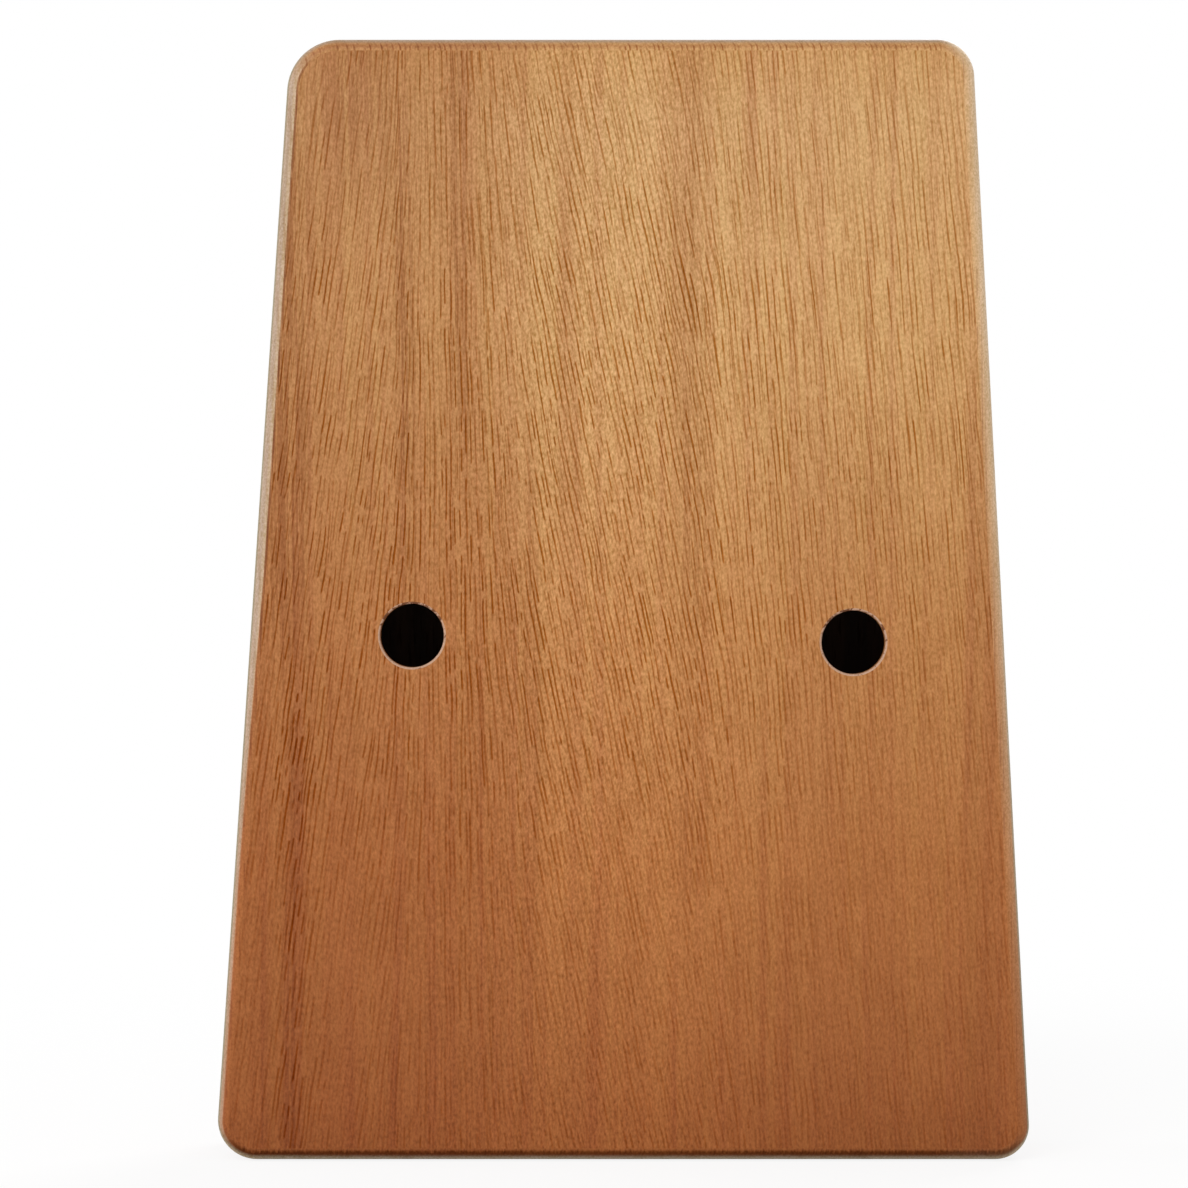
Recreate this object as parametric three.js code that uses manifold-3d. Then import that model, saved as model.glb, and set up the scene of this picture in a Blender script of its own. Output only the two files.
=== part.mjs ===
// A seventeen-key kalimba: a hollow wooden box with a bridge, a pressure bar and seventeen spring-steel
// tines. Sizes are millimetres. X runs across the box, Y from its back to its playing side, and Z from its
// wide foot end up to its narrow head end. The origin is the middle of the foot end. Left and right are the
// player's, who faces the tines, so left is +X.

import * as THREE from "three";
import { mergeVertices } from "three/addons/utils/BufferGeometryUtils.js";
import Module from "manifold-3d";

const wasm = await Module();
wasm.setup();

// Box outline. The box is a little uneven: its head sits to the left, and no two corners are quite as round.
const boxHeight = 185;
const footWidth = 134.8;
const headMargin = 3.45;
const headShift = 1.4;
const footLeftRadius = 5.6;
const footRightRadius = 6.5;
const headLeftRadius = 6.2;
const headRightRadius = 8.7;
const roundover = 2;

// Box construction
const boxDepth = 28;
const backThickness = 3;
const frontThickness = 3.5;
const sideWall = 9;
const headWall = 12;
const tailWall = 12;
const glueLine = 0.1;

// Finger holes in the back, which sit a little to the left and askew, and the sound hole in the front
const fingerHoleRadius = 5.25;
const fingerHoleSpacing = 72.8;
const fingerHoleHeight = 86;
const fingerHoleShift = 0.95;
const fingerHoleSkew = 1.1;
const soundHoleRadius = 13;
const soundHoleHeight = 54;
const holeChamfer = 0.4;

// Tines. Each one's free length follows from its note.
const tineCount = 17;
const tineWidth = 2.9;
const tineThickness = 1;
const tineScrewGap = 0.2;
const tipFlareWidth = 0.7;
const tipFlareLength = 13;
const tipCurlLength = 9;
const tipCurlRise = 1.2;
const longestFreeLength = 60;
const tineTail = 7.5;
const tineDip = 0.4;
const majorScale = [0, 2, 4, 5, 7, 9, 11];
const octave = 12;

// How far a tine rocks on the front saddle when it is pressed, and when it springs back past its rest
const pressAngle = THREE.MathUtils.degToRad(2);
const reboundAngle = THREE.MathUtils.degToRad(1);
const runningClearance = 0.1;

// Bridge and saddle rods
const bridgeToHead = 23;
const saddleHeight = 8.2;
const saddleSpan = 17;
const rodRadius = 1.5;
const rodClearance = 0.05;
const rodInset = 1.2;
const bridgeOverhang = 1.4;
const ridgeHalfWidth = 3;
const channelDepth = 2.9;
const channelSlope = 1.4;
const bridgeToe = 6;
const bridgeToeHeight = 2.2;
const bridgeHeel = 5;
const bridgeHeelHeight = 3.6;
const bridgeCornerRadius = 3;

// Pressure bar, and the screws that pull it down between the tines into a block glued inside the box. The
// counts are of the tines that lie outside an outer screw, and outside an inner one.
const barWall = 1.13;
const barMargin = 2.2;
const endChamfer = 0.4;
const screwRadius = 1.25;
const screwClearance = 0.12;
const screwHeadRadius = 2.3;
const screwHeadHeight = 1.7;
const screwHeadRim = 0.7;
const screwPointLength = 2.2;
const screwBite = 9;
const outerTineCount = 2;
const innerTineCount = 6;
const seatDepth = 0.9;
const seatClearance = 0.3;
const recessWidth = 0.7;
const recessLength = 2.7;
const recessDepth = 1;
const blockFloor = 3;
const blockWidth = 20;
const blockSideGap = 2;

// Facets of round shapes
const cornerSegments = 10;
const roundoverSegments = 5;
const holeSegments = 40;
const rodSegments = 24;
const screwSegments = 20;
const headDomeSegments = 4;
const grooveSegments = 8;
const tipSegments = 6;
const curlSegments = 4;
const dipSegments = 8;

// How far a cutter runs past what it cuts, and how close vertices are that count as one
const past = 1;
const weldDistance = 1e-4;

// Depths, from the back to the playing side
const backFace = -boxDepth / 2;
const frontFace = boxDepth / 2;
const backInside = backFace + backThickness;
const frontInside = frontFace - frontThickness;

// Heights over the front board
const barRadius = screwRadius + screwClearance + barWall;
const barSetback = saddleSpan / 2;
const tineSlope = (3 * tineDip) / saddleSpan;
const barGap = barSetback * Math.tan(pressAngle) + runningClearance;
const rearGap = saddleSpan * Math.tan(reboundAngle) + runningClearance;
const tineRest = saddleHeight + rodClearance;
const barCentreHeight = tineRest - tineDip + tineThickness + barGap + barRadius;
const seatHeight = barCentreHeight + barRadius - seatDepth;

// Widths, which follow from the row of tines: a screw passes between two of them
const tinePitch = tineWidth + 2 * (screwRadius + tineScrewGap);
const tipWidth = tineWidth + 2 * tipFlareWidth;
const barLength = tineCount * tinePitch + 2 * barMargin;
const bridgeLength = barLength + 2 * bridgeOverhang;
const rodLength = bridgeLength - 2 * rodInset;
const headWidth = bridgeLength + 2 * headMargin;
const outerScrewX = (tineCount / 2 - outerTineCount) * tinePitch;
const innerScrewX = (tineCount / 2 - innerTineCount) * tinePitch;
const screwXs = [outerScrewX, innerScrewX, -innerScrewX, -outerScrewX];

// Places along the box
const saddleZ = boxHeight - bridgeToHead - bridgeHeel - saddleSpan;
const blockTopZ = saddleZ + barSetback + blockWidth / 2;
const blockThickness = screwBite + blockFloor;
const screwDepth = frontThickness + screwBite;

const wood = new THREE.MeshStandardMaterial({ color: 0xb57c4c, roughness: 0.55, metalness: 0 });
const innerWood = new THREE.MeshStandardMaterial({ color: 0xc79a68, roughness: 0.8, metalness: 0 });
const bridgeWood = new THREE.MeshStandardMaterial({ color: 0x4a2a1c, roughness: 0.45, metalness: 0 });
const springSteel = new THREE.MeshStandardMaterial({ color: 0xb9bcc0, roughness: 0.28, metalness: 1 });
const plated = new THREE.MeshStandardMaterial({ color: 0xd2d4d6, roughness: 0.16, metalness: 1 });

// The middle of the box at a height, which leans with the head end's shift.
function middleAt(z) {
  return (headShift * z) / boxHeight;
}

// Half the box's width at a height.
function halfWidthAt(z) {
  return (footWidth + ((headWidth - footWidth) * z) / boxHeight) / 2;
}

// A closed mesh as a solid that can be joined and cut.
function solid(geometry) {
  const bare = geometry.clone();
  bare.deleteAttribute("normal");
  bare.deleteAttribute("uv");
  const merged = mergeVertices(bare, weldDistance);
  return new wasm.Manifold(
    new wasm.Mesh({
      numProp: 3,
      vertProperties: merged.attributes.position.array,
      triVerts: new Uint32Array(merged.index.array),
    }),
  );
}

// A solid as a mesh's geometry again.
function geometryOf(made) {
  const mesh = made.getMesh();
  const geometry = new THREE.BufferGeometry();
  geometry.setAttribute("position", new THREE.BufferAttribute(new Float32Array(mesh.vertProperties), 3));
  geometry.setIndex(new THREE.BufferAttribute(new Uint32Array(mesh.triVerts), 1));
  geometry.computeVertexNormals();
  return geometry;
}

// What is left of a geometry once the others are taken out of it.
function cut(geometry, tools) {
  return geometryOf(tools.reduce((left, tool) => left.subtract(solid(tool)), solid(geometry)));
}

// What two geometries share.
function common(a, b) {
  return geometryOf(solid(a).intersect(solid(b)));
}

function named(name, geometry, material) {
  const mesh = new THREE.Mesh(geometry, material);
  mesh.name = name;
  return mesh;
}

// A shape drawn in X and Z, made solid from one Y to another.
function plate(shape, fromY, toY, options = {}) {
  const geometry = new THREE.ExtrudeGeometry(shape, {
    depth: toY - fromY,
    bevelEnabled: false,
    curveSegments: cornerSegments,
    ...options,
  });
  const toBox = new THREE.Matrix4().makeBasis(
    new THREE.Vector3(1, 0, 0),
    new THREE.Vector3(0, 0, 1),
    new THREE.Vector3(0, -1, 0),
  );
  return geometry.applyMatrix4(toBox).translate(0, toY, 0);
}

// A side profile drawn in Y and Z, made solid along X and centred on it.
function strip(shape, length) {
  const geometry = new THREE.ExtrudeGeometry(shape, {
    depth: length,
    bevelEnabled: false,
    curveSegments: grooveSegments,
  });
  const toBox = new THREE.Matrix4().makeBasis(
    new THREE.Vector3(0, 1, 0),
    new THREE.Vector3(0, 0, 1),
    new THREE.Vector3(1, 0, 0),
  );
  return geometry.applyMatrix4(toBox).translate(-length / 2, 0, 0);
}

function block(width, depth, height, x, y, z) {
  return new THREE.BoxGeometry(width, depth, height).translate(x, y, z);
}

// A round cutter along Y, from one Y to another.
function drill(radius, x, z, fromY, toY, segments = holeSegments) {
  const cutter = new THREE.CylinderGeometry(radius, radius, toY - fromY, segments);
  return cutter.translate(x, (fromY + toY) / 2, z);
}

// A cone that breaks a hole's edge by 45 degrees. Outward is 1 on the playing side and -1 on the back.
function countersink(radius, x, z, faceY, outward) {
  const wide = radius + holeChamfer + past;
  const cone = new THREE.CylinderGeometry(wide, radius, holeChamfer + past, holeSegments);
  if (outward < 0) cone.rotateX(Math.PI);
  return cone.translate(x, faceY + (outward * (past - holeChamfer)) / 2, z);
}

// A convex outline whose corners are arcs. Each corner is [x, z, radius], counterclockwise.
function roundedOutline(corners) {
  const shape = new THREE.Shape();
  corners.forEach(([x, z, radius], i) => {
    const here = new THREE.Vector2(x, z);
    const before = new THREE.Vector2(...corners.at(i - 1)).sub(here).normalize();
    const after = new THREE.Vector2(...corners[(i + 1) % corners.length]).sub(here).normalize();
    const halfAngle = Math.acos(before.dot(after)) / 2;
    const inward = before.clone().add(after).normalize();
    const centre = here.clone().addScaledVector(inward, radius / Math.sin(halfAngle));
    const tangent = radius / Math.tan(halfAngle);
    const start = here.clone().addScaledVector(before, tangent).sub(centre);
    const end = here.clone().addScaledVector(after, tangent).sub(centre);
    shape.absarc(centre.x, centre.y, radius, start.angle(), end.angle(), false);
  });
  return shape;
}

// The whole box as one block, with both faces' edges rounded over. Every wooden wall is a slice of it.
function boxBlock() {
  const outline = roundedOutline([
    [-footWidth / 2, 0, footRightRadius],
    [footWidth / 2, 0, footLeftRadius],
    [headShift + headWidth / 2, boxHeight, headLeftRadius],
    [headShift - headWidth / 2, boxHeight, headRightRadius],
  ]);
  return plate(outline, backFace + roundover, frontFace - roundover, {
    bevelEnabled: true,
    bevelThickness: roundover,
    bevelSize: roundover,
    bevelOffset: -roundover,
    bevelSegments: roundoverSegments,
  });
}

// A slice of the box between two Ys.
function slice(fromY, toY) {
  const layer = block(2 * footWidth, toY - fromY, 2 * boxHeight, 0, (fromY + toY) / 2, boxHeight / 2);
  return common(boxBlock(), layer);
}

// The X of a side's inner face at a height, or of a line that keeps a gap to it. Side is 1 on the left and
// -1 on the right, and the wall is measured square to the leaning side.
function innerFaceX(side, z, gap = 0) {
  const outer = (at) => middleAt(at) + side * halfWidthAt(at);
  const lean = Math.atan((outer(boxHeight) - outer(0)) / boxHeight);
  return outer(z) - (side * (sideWall + gap)) / Math.cos(lean);
}

// Cutters for the screws' holes, in the bridge's own frame.
function screwHolesAt(fromY, toY) {
  const radius = screwRadius + screwClearance;
  return screwXs.map((x) => drill(radius, x, barSetback, fromY, toY, screwSegments));
}

function backBoard() {
  const x = middleAt(fingerHoleHeight) + fingerHoleShift;
  const holes = [-1, 1].flatMap((side) => {
    const holeX = x + (side * fingerHoleSpacing) / 2;
    const holeZ = fingerHoleHeight - (side * fingerHoleSkew) / 2;
    return [
      drill(fingerHoleRadius, holeX, holeZ, backFace - past, backInside + past),
      countersink(fingerHoleRadius, holeX, holeZ, backFace, -1),
    ];
  });
  return cut(slice(backFace, backInside), holes);
}

function frontBoard() {
  const x = middleAt(soundHoleHeight);
  const soundHole = [
    drill(soundHoleRadius, x, soundHoleHeight, frontInside - past, frontFace + past),
    countersink(soundHoleRadius, x, soundHoleHeight, frontFace, 1),
  ];
  const screwHoles = screwHolesAt(frontInside - past, frontFace + past).map((hole) =>
    hole.translate(middleAt(saddleZ), 0, saddleZ),
  );
  return cut(slice(frontInside, frontFace), [...soundHole, ...screwHoles]);
}

// One long side of the frame between the boards: what lies outside its straight inner face.
function sideRail(side) {
  const outX = side * footWidth;
  const low = -past;
  const high = boxHeight + past;
  const plan = new THREE.Shape([
    new THREE.Vector2(innerFaceX(side, low), low),
    new THREE.Vector2(outX, low),
    new THREE.Vector2(outX, high),
    new THREE.Vector2(innerFaceX(side, high), high),
  ]);
  return common(slice(backInside, frontInside), plate(plan, backFace, frontFace));
}

// A block that closes the frame between the two sides, from one height to another.
function endBlock(low, high) {
  const plan = new THREE.Shape([
    new THREE.Vector2(innerFaceX(-1, low, glueLine), low),
    new THREE.Vector2(innerFaceX(1, low, glueLine), low),
    new THREE.Vector2(innerFaceX(1, high, glueLine), high),
    new THREE.Vector2(innerFaceX(-1, high, glueLine), high),
  ]);
  return common(slice(backInside, frontInside), plate(plan, backFace, frontFace));
}

// The hardwood block inside the box that the screws bite into, in the bridge's own frame. It fills the
// width between the sides, which is least at its top.
function screwBlock() {
  const room = [-1, 1].map((side) => side * (innerFaceX(side, blockTopZ) - middleAt(saddleZ)));
  const length = 2 * (Math.min(...room) - blockSideGap);
  const y = -frontThickness - blockThickness / 2;
  const holes = screwHolesAt(-screwDepth - screwClearance, -frontThickness + past);
  return cut(block(length, blockThickness, blockWidth, 0, y, barSetback), holes);
}

// The bridge's side profile: a ridge with a groove for each saddle rod, and a channel between them, below
// the bar. Y is the height over the front board, and Z the distance behind the front saddle.
function bridgeProfile() {
  const grooveRadius = rodRadius + rodClearance;
  const frontRidge = saddleHeight - rodRadius;
  const rearRidge = frontRidge - rearGap;
  const channelFloor = frontRidge - channelDepth;
  const shape = new THREE.Shape();
  shape.moveTo(0, -bridgeToe);
  shape.lineTo(0, saddleSpan + bridgeHeel);
  shape.lineTo(bridgeHeelHeight, saddleSpan + bridgeHeel);
  shape.lineTo(rearRidge, saddleSpan + ridgeHalfWidth);
  shape.lineTo(rearRidge, saddleSpan + grooveRadius);
  shape.absarc(rearRidge, saddleSpan, grooveRadius, Math.PI / 2, -Math.PI / 2, false);
  shape.lineTo(rearRidge, saddleSpan - ridgeHalfWidth);
  shape.lineTo(channelFloor, saddleSpan - ridgeHalfWidth - channelSlope);
  shape.lineTo(channelFloor, ridgeHalfWidth + channelSlope);
  shape.lineTo(frontRidge, ridgeHalfWidth);
  shape.lineTo(frontRidge, grooveRadius);
  shape.absarc(frontRidge, 0, grooveRadius, Math.PI / 2, -Math.PI / 2, false);
  shape.lineTo(frontRidge, -ridgeHalfWidth);
  shape.lineTo(bridgeToeHeight, -bridgeToe);
  return shape;
}

function bridgeBase() {
  const half = bridgeLength / 2;
  const plan = roundedOutline([
    [-half, -bridgeToe, bridgeCornerRadius],
    [half, -bridgeToe, bridgeCornerRadius],
    [half, saddleSpan + bridgeHeel, bridgeCornerRadius],
    [-half, saddleSpan + bridgeHeel, bridgeCornerRadius],
  ]);
  const rounded = common(strip(bridgeProfile(), bridgeLength), plate(plan, -past, saddleHeight));
  return cut(rounded, screwHolesAt(-past, saddleHeight));
}

// A profile of [radius, y] points turned about Y.
function turned(profile, segments) {
  const points = profile.map(([radius, y]) => new THREE.Vector2(radius, y));
  return new THREE.LatheGeometry(points, segments);
}

// A round rod with chamfered ends, turned about Y and centred on the origin.
function rod(radius, length) {
  const half = length / 2;
  const profile = [
    [0, -half],
    [radius - endChamfer, -half],
    [radius, -half + endChamfer],
    [radius, half - endChamfer],
    [radius - endChamfer, half],
    [0, half],
  ];
  return turned(profile, rodSegments);
}

// The bar that holds the tines down, drilled for its screws, with a flat seat sunk under each screw's head.
function pressureBar() {
  const bar = rod(barRadius, barLength).rotateZ(-Math.PI / 2);
  const seatY = seatHeight - barCentreHeight;
  const tools = screwXs.flatMap((x) => [
    drill(screwRadius + screwClearance, x, 0, -barRadius - past, barRadius + past, screwSegments),
    drill(screwHeadRadius + seatClearance, x, 0, seatY, barRadius + past, screwSegments),
  ]);
  return cut(bar, tools);
}

// A pan-head screw along Y, with its head's seat at the origin and a cross recess in the head.
function barScrew() {
  const shankLength = seatHeight + screwDepth;
  const profile = [
    [0, -shankLength],
    [screwRadius, -shankLength + screwPointLength],
    [screwRadius, 0],
    [screwHeadRadius, 0],
  ];
  for (let i = 0; i < headDomeSegments; i += 1) {
    const turn = (i / headDomeSegments) * (Math.PI / 2);
    const rise = (screwHeadHeight - screwHeadRim) * Math.sin(turn);
    profile.push([screwHeadRadius * Math.cos(turn), screwHeadRim + rise]);
  }
  profile.push([0, screwHeadHeight]);
  const recessY = screwHeadHeight + (past - recessDepth) / 2;
  const recess = [
    block(recessLength, recessDepth + past, recessWidth, 0, recessY, 0),
    block(recessWidth, recessDepth + past, recessLength, 0, recessY, 0),
  ];
  return cut(turned(profile, screwSegments), recess);
}

// Semitones above the lowest note for the tine at a place, counted leftwards from the middle one. The scale
// climbs outwards, turn by turn to the left and to the right.
function semitonesAt(place) {
  const step = place > 0 ? 2 * place - 1 : -2 * place;
  return octave * Math.floor(step / majorScale.length) + majorScale[step % majorScale.length];
}

// A strip's pitch rises with the inverse square of its free length.
function freeLengthAt(place) {
  return longestFreeLength * 2 ** (-semitonesAt(place) / (2 * octave));
}

// Height of a tine's underside, from its rest on the front saddle, at a distance behind that saddle. It is
// bent down between the saddles as a beam on two supports is, runs straight past them, and curls up at the
// tip.
function undersideAt(z, freeLength) {
  if (z > saddleSpan) return tineSlope * (z - saddleSpan);
  if (z >= 0) {
    const share = Math.min(z, saddleSpan - z) / saddleSpan;
    return -tineDip * (3 * share - 4 * share ** 3);
  }
  const curl = Math.max(0, (-z - freeLength + tipCurlLength) / tipCurlLength);
  return -tineSlope * z + tipCurlRise * curl * curl;
}

// The distances behind the front saddle at which a tine's side profile has its points, from tip to tail.
function tineStations(freeLength) {
  const spread = (start, length, steps) =>
    Array.from({ length: steps + 1 }, (_, i) => start + (length * i) / steps);
  const curl = spread(-freeLength, tipCurlLength, curlSegments);
  const dip = spread(0, saddleSpan, dipSegments);
  return [...curl, ...dip, saddleSpan + tineTail];
}

// A tine's plan: parallel sides that widen to a round tip.
function tinePlan(freeLength) {
  const half = tineWidth / 2;
  const tipHalf = tipWidth / 2;
  const tail = saddleSpan + tineTail;
  const tipCentre = -freeLength + tipHalf;
  const flareTop = -freeLength + tipFlareLength;
  const flareMiddle = (tipCentre + flareTop) / 2;
  const plan = new THREE.Shape();
  plan.moveTo(-half, tail);
  plan.lineTo(-half, flareTop);
  plan.bezierCurveTo(-half, flareMiddle, -tipHalf, flareMiddle, -tipHalf, tipCentre);
  plan.absarc(0, tipCentre, tipHalf, Math.PI, 2 * Math.PI, false);
  plan.bezierCurveTo(tipHalf, flareMiddle, half, flareMiddle, half, flareTop);
  plan.lineTo(half, tail);
  return plan;
}

// A tine, resting on the front saddle at its origin, with its tip at negative Z.
function tine(freeLength) {
  const stations = tineStations(freeLength);
  const under = stations.map((z) => new THREE.Vector2(undersideAt(z, freeLength), z));
  const over = under.map(({ x, y }) => new THREE.Vector2(x + tineThickness, y));
  const profile = new THREE.Shape([...under, ...over.reverse()]);
  const lowest = -tineDip - past;
  const highest = undersideAt(-freeLength, freeLength) + tineThickness + past;
  const plan = plate(tinePlan(freeLength), lowest, highest, { curveSegments: tipSegments });
  return common(strip(profile, 2 * tipWidth), plan);
}

// The box
const kalimba = new THREE.Group();
kalimba.add(named("back_board", backBoard(), wood));
kalimba.add(named("front_board", frontBoard(), wood));
kalimba.add(named("left_side", sideRail(1), wood));
kalimba.add(named("right_side", sideRail(-1), wood));
kalimba.add(named("head_block", endBlock(boxHeight - headWall, boxHeight), wood));
kalimba.add(named("tail_block", endBlock(0, tailWall), wood));

// The bridge and what it carries. Its own frame lies on the front board, under the front saddle.
const bridge = new THREE.Group();
bridge.position.set(middleAt(saddleZ), frontFace, saddleZ);
kalimba.add(bridge);
bridge.add(named("screw_block", screwBlock(), innerWood));
bridge.add(named("bridge_base", bridgeBase(), bridgeWood));

const rodCentres = {
  front_saddle_rod: [saddleHeight - rodRadius, 0],
  rear_saddle_rod: [saddleHeight - rodRadius - rearGap, saddleSpan],
};
for (const [name, [height, z]] of Object.entries(rodCentres)) {
  const saddleRod = named(name, rod(rodRadius, rodLength), plated);
  saddleRod.rotation.z = -Math.PI / 2;
  saddleRod.position.set(0, height, z);
  bridge.add(saddleRod);
}

const bar = named("pressure_bar", pressureBar(), plated);
bar.position.set(0, barCentreHeight, barSetback);
bridge.add(bar);

screwXs.forEach((x, i) => {
  const screw = named(`bar_screw_${i + 1}`, barScrew(), plated);
  screw.position.set(x, seatHeight, barSetback);
  bridge.add(screw);
});

for (let i = 0; i < tineCount; i += 1) {
  const place = (tineCount - 1) / 2 - i;
  const name = `tine_${String(i + 1).padStart(2, "0")}`;
  const key = named(name, tine(freeLengthAt(place)), springSteel);
  key.position.set(place * tinePitch, tineRest, 0);
  bridge.add(key);
}

export default kalimba;
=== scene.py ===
import math

import bmesh
import bpy
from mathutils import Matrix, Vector


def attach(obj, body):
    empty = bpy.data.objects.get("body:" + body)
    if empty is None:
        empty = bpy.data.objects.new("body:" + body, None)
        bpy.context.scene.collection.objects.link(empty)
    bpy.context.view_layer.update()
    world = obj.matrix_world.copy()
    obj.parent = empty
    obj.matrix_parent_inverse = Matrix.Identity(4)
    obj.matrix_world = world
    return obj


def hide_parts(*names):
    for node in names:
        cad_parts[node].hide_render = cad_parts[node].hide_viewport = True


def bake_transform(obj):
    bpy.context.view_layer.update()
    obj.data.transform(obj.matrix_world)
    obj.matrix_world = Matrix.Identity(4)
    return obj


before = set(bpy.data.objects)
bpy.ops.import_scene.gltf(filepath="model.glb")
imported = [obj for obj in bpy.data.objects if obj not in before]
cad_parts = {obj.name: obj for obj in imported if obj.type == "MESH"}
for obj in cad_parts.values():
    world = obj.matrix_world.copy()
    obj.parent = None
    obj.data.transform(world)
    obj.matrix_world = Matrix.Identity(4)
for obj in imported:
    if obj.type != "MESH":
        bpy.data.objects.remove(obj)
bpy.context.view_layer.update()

# Sizes are millimetres, as in the part's source. X runs across the box, Y from its back to its
# playing side, and Z from its foot to its head. Left and right are the player's, left being +X.
MM = 0.001

BOX_HEIGHT = 185
FOOT_WIDTH = 134.8
HEAD_WIDTH = 112.7
HEAD_SHIFT = 1.4
FOOT_LEFT_RADIUS = 5.6
FOOT_RIGHT_RADIUS = 6.5
HEAD_LEFT_RADIUS = 6.2
HEAD_RIGHT_RADIUS = 8.7
ROUNDOVER = 2

BACK_FACE = -14
BACK_INSIDE = -11
FRONT_INSIDE = 10.5
FRONT_FACE = 14
SIDE_WALL = 9
HEAD_WALL = 12
TAIL_WALL = 12
GLUE_LINE = 0.1

FINGER_HOLES = [(38.0, 85.45), (-34.8, 86.55)]
FINGER_HOLE_RADIUS = 5.25
SOUND_HOLE = (0.409, 54)
SOUND_HOLE_RADIUS = 13

# The bridge's frame lies on the front board, under the front saddle. Heights are over that board.
BRIDGE_X = 1.0595
BRIDGE_Z = 140
BRIDGE_HALF = 52.9
BRIDGE_TOE = 6
BRIDGE_HEEL_Z = 22
BRIDGE_CORNER = 3
TOE_HEIGHT = 2.2
HEEL_HEIGHT = 3.6
CHANNEL_START = 4.4
CHANNEL_END = 12.6
CHANNEL_HEIGHT = 3.8
RIDGE_HALF = 3
SADDLE_SPAN = 17
ROD_RADIUS = 1.5
ROD_HALF = 51.7
FRONT_ROD_HEIGHT = 6.7
REAR_ROD_HEIGHT = 6.303
BAR_RADIUS = 2.5
BAR_HALF = 51.5
BAR_SETBACK = 8.5
BAR_HEIGHT = 11.747
SEAT_HEIGHT = 13.347
SEAT_RADIUS = 2.6
SCREW_XS = [37.7, 14.5, -14.5, -37.7]
SCREW_HOLE_RADIUS = 1.37
SCREW_RADIUS = 1.25
SCREW_LENGTH = 25.847
SCREW_HEAD_RADIUS = 2.3
SCREW_HEAD_RIM = 0.7
SCREW_HEAD_HEIGHT = 1.65

TINE_COUNT = 17
TINE_PITCH = 5.8
TINE_WIDTH = 2.9
TINE_THICKNESS = 1
TIP_WIDTH = 4.3
TIP_FLARE_LENGTH = 13
TIP_CURL_LENGTH = 9
TIP_CURL_RISE = 1.2
TINE_TAIL = 7.5
TINE_SLOPE = 0.0706
LONGEST_FREE_LENGTH = 60
MAJOR_SCALE = [0, 2, 4, 5, 7, 9, 11]
OCTAVE = 12

# Fine shape that only the looks need: broken edges where pieces meet, and beside a rounded edge a
# narrow strip that keeps the flat face flat
SEAM = 0.09
SUPPORT = 0.35
HOLE_RIM = 0.35
CORNER_RUN = 1.0
CORNER_STEPS = 18
ROUND_STEPS = 12
HOLE_STEPS = 72
RIM_STEPS = 5


# Solids


def box_middle(z):
    return HEAD_SHIFT * z / BOX_HEIGHT


def box_half(z):
    return (FOOT_WIDTH + (HEAD_WIDTH - FOOT_WIDTH) * z / BOX_HEIGHT) / 2


def inner_x(side, z, gap=0):
    """The X of a side's inner face at a height, or of a line that keeps a gap to it."""
    rise = (HEAD_SHIFT + side * (HEAD_WIDTH - FOOT_WIDTH) / 2) / BOX_HEIGHT
    return box_middle(z) + side * (box_half(z) - (SIDE_WALL + gap) * math.hypot(1, rise))


def corner_arcs(corners, inset):
    """Each corner's points, counterclockwise in X and Z: its arc, with one more point on the
    straight edge at each end, so that the edge shades flat. An inset moves the outline inwards."""
    arcs = []
    for i, (x, z, radius) in enumerate(corners):
        here = Vector((x, z))
        before = (Vector(corners[i - 1][:2]) - here).normalized()
        after = (Vector(corners[(i + 1) % len(corners)][:2]) - here).normalized()
        half = math.acos(before.dot(after)) / 2
        centre = here + (before + after).normalized() * radius / math.sin(half)
        start = here + before * radius / math.tan(half) - centre
        end = here + after * radius / math.tan(half) - centre
        first = math.atan2(start.y, start.x)
        turn = (math.atan2(end.y, end.x) - first) % math.tau
        reach = radius - inset
        arc = []
        for step in range(CORNER_STEPS + 1):
            angle = first + turn * step / CORNER_STEPS
            arc.append(centre + Vector((math.cos(angle), math.sin(angle))) * reach)
        arcs.append([arc[0] + before * CORNER_RUN, *arc, arc[-1] + after * CORNER_RUN])
    return arcs


def box_arcs(inset):
    """The box's corners: the foot's right and left one, then the head's left and right one."""
    return corner_arcs(
        [
            (-FOOT_WIDTH / 2, 0, FOOT_RIGHT_RADIUS),
            (FOOT_WIDTH / 2, 0, FOOT_LEFT_RADIUS),
            (HEAD_SHIFT + HEAD_WIDTH / 2, BOX_HEIGHT, HEAD_LEFT_RADIUS),
            (HEAD_SHIFT - HEAD_WIDTH / 2, BOX_HEIGHT, HEAD_RIGHT_RADIUS),
        ],
        inset,
    )


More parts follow.
